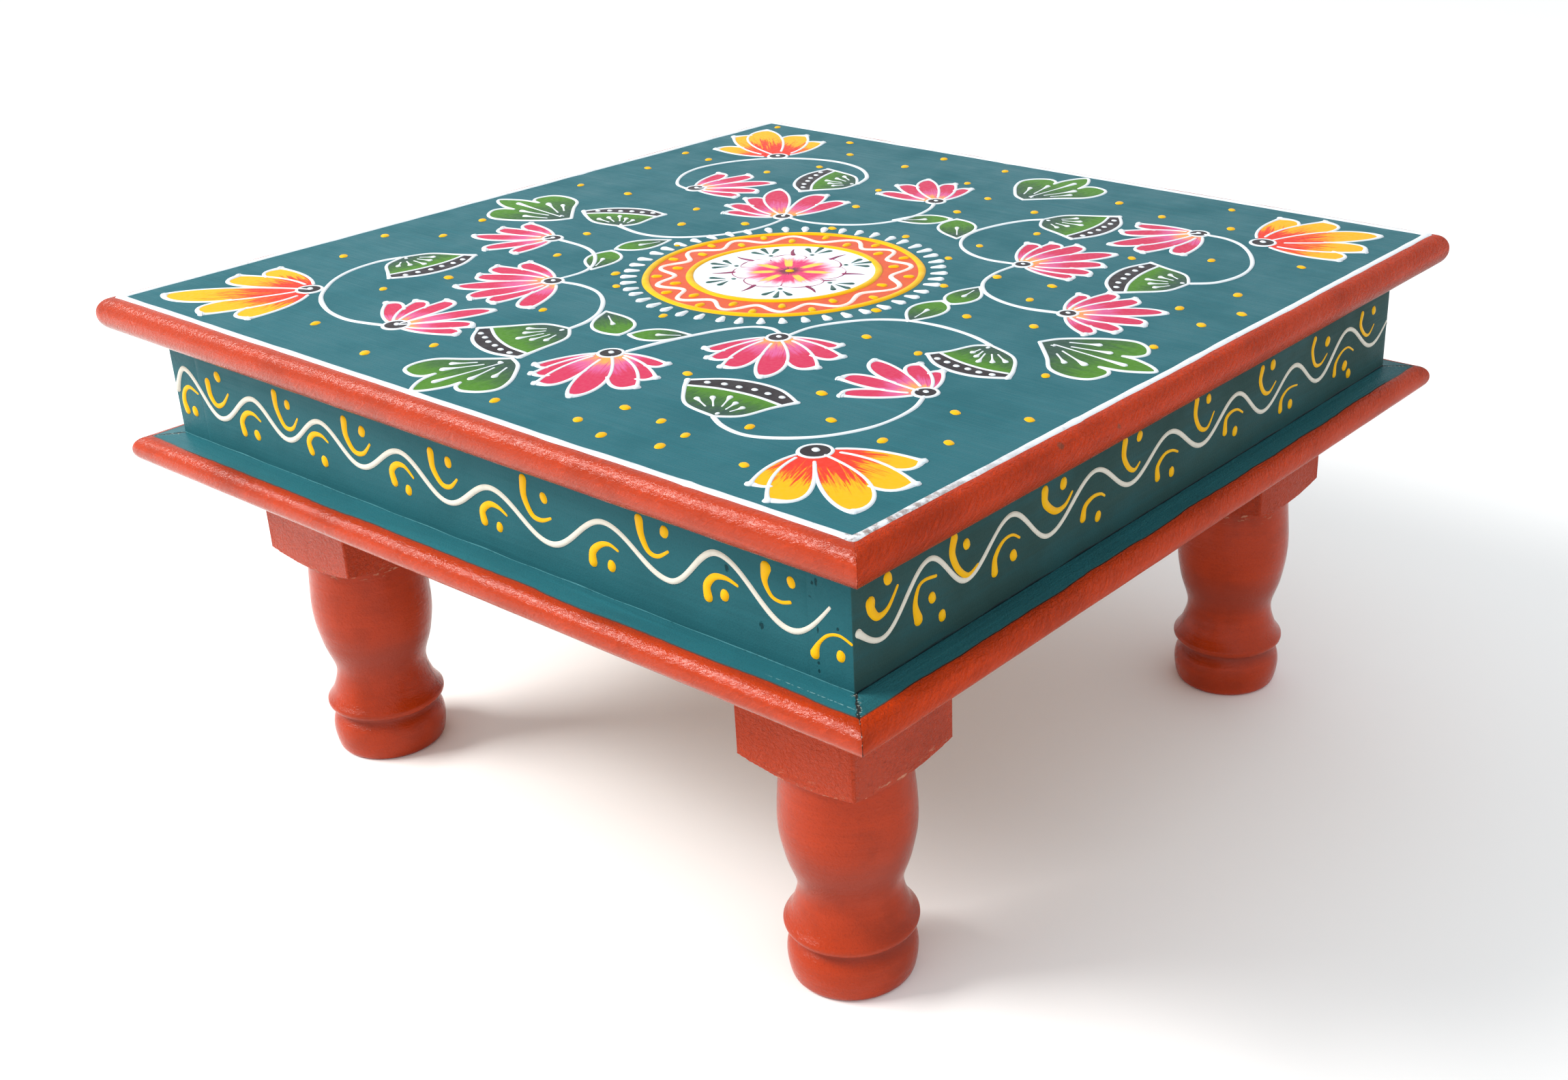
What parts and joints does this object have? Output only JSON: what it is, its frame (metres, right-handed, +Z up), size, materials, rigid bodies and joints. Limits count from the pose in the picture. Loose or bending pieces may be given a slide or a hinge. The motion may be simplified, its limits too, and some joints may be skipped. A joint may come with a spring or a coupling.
{
  "type": "chowki",
  "caption": "Low square painted wooden table with a round-edged top, a shallow apron box, a round-edged plinth and turned legs, for setting things or sitting on.",
  "frame": {"origin": "centre of the plan at the floor, where the four feet stand", "axes": "+Z up; the front and back boards, which lie between the side boards, face -Y and +Y"},
  "size_m": [0.304, 0.304, 0.16],
  "materials": {
    "teal_paint": "brushed satin enamel over planed wood",
    "orange_paint": "brushed satin enamel over turned and moulded wood",
    "nail_steel": "bright drawn steel",
    "white_paint": "raised glossy hand-painted line",
    "yellow_paint": "raised glossy hand-painted dots and strokes",
    "pink_paint": "hand-painted petals",
    "green_paint": "hand-painted leaves",
    "black_paint": "hand-painted bands and dots"
  },
  "bodies": {
    "root": {"top_panel": "teal_paint", "rim_front": "orange_paint", "apron_front": "teal_paint", "plinth_front": "orange_paint", "leg_nail_front_1": "nail_steel", "leg_nail_front_2": "nail_steel", "leg_nail_front_3": "nail_steel", "leg_nail_front_4": "nail_steel", "rim_pin_front_1": "nail_steel", "rim_pin_front_2": "nail_steel", "plinth_pin_front_1": "nail_steel", "plinth_pin_front_2": "nail_steel", "rim_right": "orange_paint", "apron_right": "teal_paint", "plinth_right": "orange_paint", "leg_nail_right_1": "nail_steel", "leg_nail_right_2": "nail_steel", "leg_nail_right_3": "nail_steel", "leg_nail_right_4": "nail_steel", "rim_pin_right_1": "nail_steel", "rim_pin_right_2": "nail_steel", "plinth_pin_right_1": "nail_steel", "plinth_pin_right_2": "nail_steel", "corner_nail_right_1": "nail_steel", "corner_nail_right_2": "nail_steel", "corner_nail_right_3": "nail_steel", "corner_nail_right_4": "nail_steel", "rim_back": "orange_paint", "apron_back": "teal_paint", "plinth_back": "orange_paint", "leg_nail_back_1": "nail_steel", "leg_nail_back_2": "nail_steel", "leg_nail_back_3": "nail_steel", "leg_nail_back_4": "nail_steel", "rim_pin_back_1": "nail_steel", "rim_pin_back_2": "nail_steel", "plinth_pin_back_1": "nail_steel", "plinth_pin_back_2": "nail_steel", "rim_left": "orange_paint", "apron_left": "teal_paint", "plinth_left": "orange_paint", "leg_nail_left_1": "nail_steel", "leg_nail_left_2": "nail_steel", "leg_nail_left_3": "nail_steel", "leg_nail_left_4": "nail_steel", "rim_pin_left_1": "nail_steel", "rim_pin_left_2": "nail_steel", "plinth_pin_left_1": "nail_steel", "plinth_pin_left_2": "nail_steel", "corner_nail_left_1": "nail_steel", "corner_nail_left_2": "nail_steel", "corner_nail_left_3": "nail_steel", "corner_nail_left_4": "nail_steel", "leg_front_right": "orange_paint", "leg_back_right": "orange_paint", "leg_back_left": "orange_paint", "leg_front_left": "orange_paint"}
  },
  "joints": []
}
